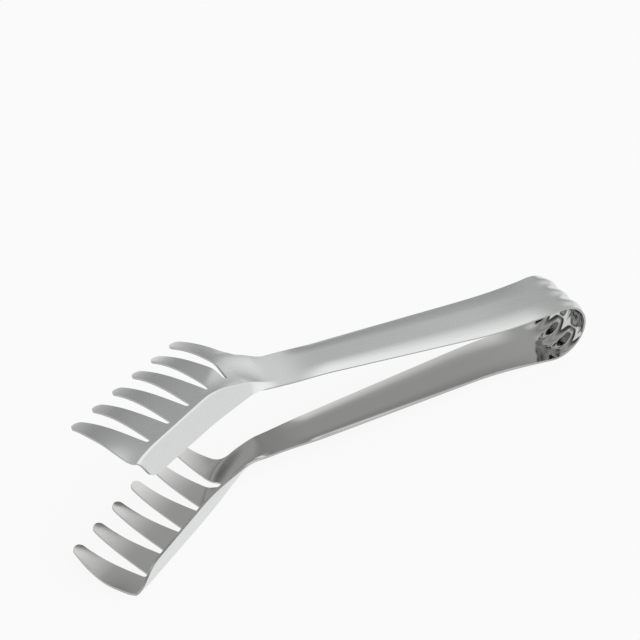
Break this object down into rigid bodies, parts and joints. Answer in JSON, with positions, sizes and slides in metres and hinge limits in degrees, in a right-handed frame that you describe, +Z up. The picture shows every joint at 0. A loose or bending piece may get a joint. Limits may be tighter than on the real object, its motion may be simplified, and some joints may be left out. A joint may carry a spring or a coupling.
{
  "type": "spaghetti tongs",
  "caption": "Sprung one-strip steel tongs: two handles joined by a rounded bow end in angled, cupped combs of curved tines that close on pasta.",
  "frame": {"origin": "on the table, under the middle of the part's box, with the tongs lying on the bow and the lower comb", "axes": "+X to the bow, -X to the combs, +Y to the side that the tine tips point to, +Z up from the table"},
  "size_m": [0.1994, 0.0548, 0.058],
  "materials": {
    "polished_steel": "polished stainless steel sheet with a faint satin grain"
  },
  "bodies": {
    "lower_arm": {"lower_handle": "polished_steel", "lower_comb_back": "polished_steel", "lower_tine_1": "polished_steel", "lower_tine_2": "polished_steel", "lower_tine_3": "polished_steel", "lower_tine_4": "polished_steel", "lower_tine_5": "polished_steel", "lower_tine_6": "polished_steel", "spring_bow": "polished_steel"},
    "upper_arm": {"upper_handle": "polished_steel", "upper_comb_back": "polished_steel", "upper_tine_1": "polished_steel", "upper_tine_2": "polished_steel", "upper_tine_3": "polished_steel", "upper_tine_4": "polished_steel", "upper_tine_5": "polished_steel", "upper_tine_6": "polished_steel"}
  },
  "joints": [
    {"name": "bow_flex", "type": "hinge", "parent": "lower_arm", "child": "upper_arm", "pos_m": [0.09398, 0.0057, 0.01091], "axis": [0, -1, -0.0017], "range_deg": [-4, 11.2], "stiffness_Nm_per_rad": 4, "springref_deg": -0.34, "deforming": ["spring_bow"]}
  ]
}
